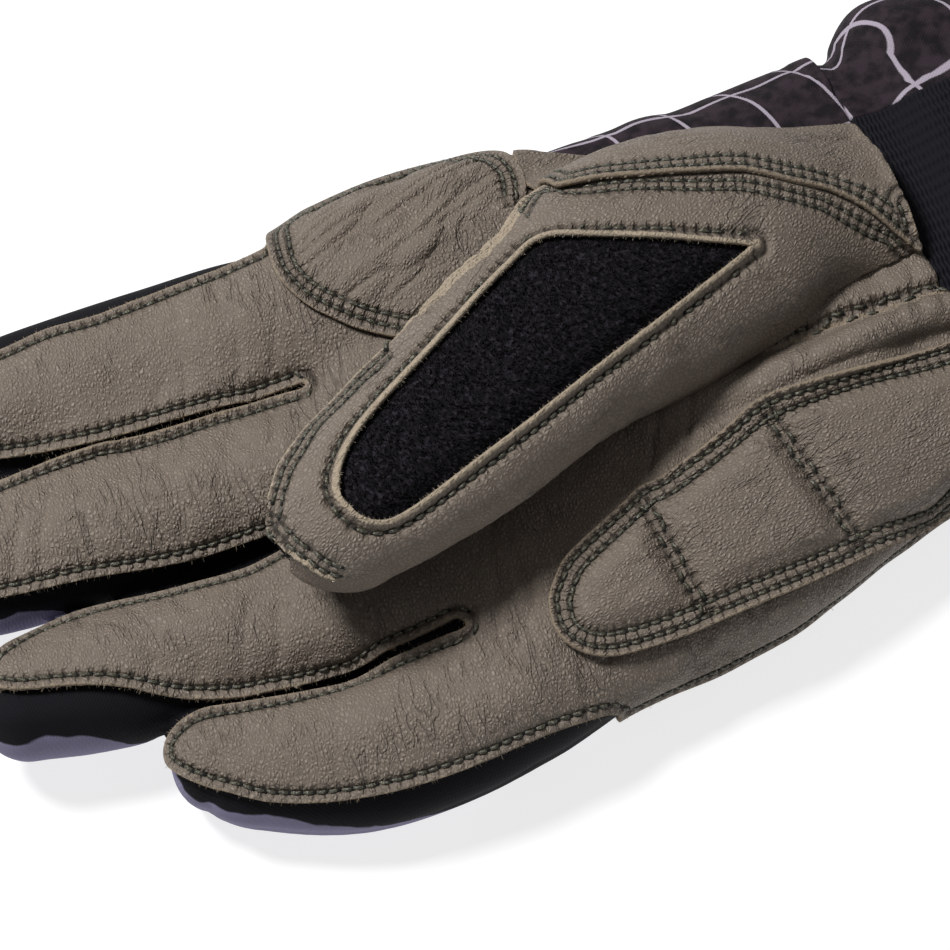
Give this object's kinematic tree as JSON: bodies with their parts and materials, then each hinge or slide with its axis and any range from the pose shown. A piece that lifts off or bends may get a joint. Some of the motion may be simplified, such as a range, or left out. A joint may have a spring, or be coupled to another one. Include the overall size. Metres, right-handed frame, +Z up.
{
  "type": "cross-country ski glove",
  "caption": "Right-hand winter sport glove, palm up with the thumb folded over: leather palm and thumb, suede nose wipe, padded heel, stretch fabric back and cuff.",
  "frame": {"origin": "middle of the glove's outline on the floor, under its flattened back", "axes": "+X from the fingertips to the cuff, +Y from the little finger to the thumb side, +Z up out of the palm"},
  "size_m": [0.258, 0.1208, 0.0563],
  "materials": {
    "leather": "pebbled matt leather, taupe",
    "printed_fabric": "matt stretch fabric, dark with a fine pale windowpane check",
    "black_fabric": "matt black stretch fabric",
    "nose_wipe_suede": "short dark pile",
    "black_knit": "matt black rib knit"
  },
  "bodies": {
    "root": {"palm_leather": "leather", "back_fabric": "printed_fabric", "thumb_underside": "black_fabric", "thumb_leather": "leather", "nose_wipe": "nose_wipe_suede", "web_patch": "leather", "side_leather": "leather", "heel_pad": "leather", "cuff": "printed_fabric", "cuff_knit": "black_knit"}
  },
  "joints": []
}
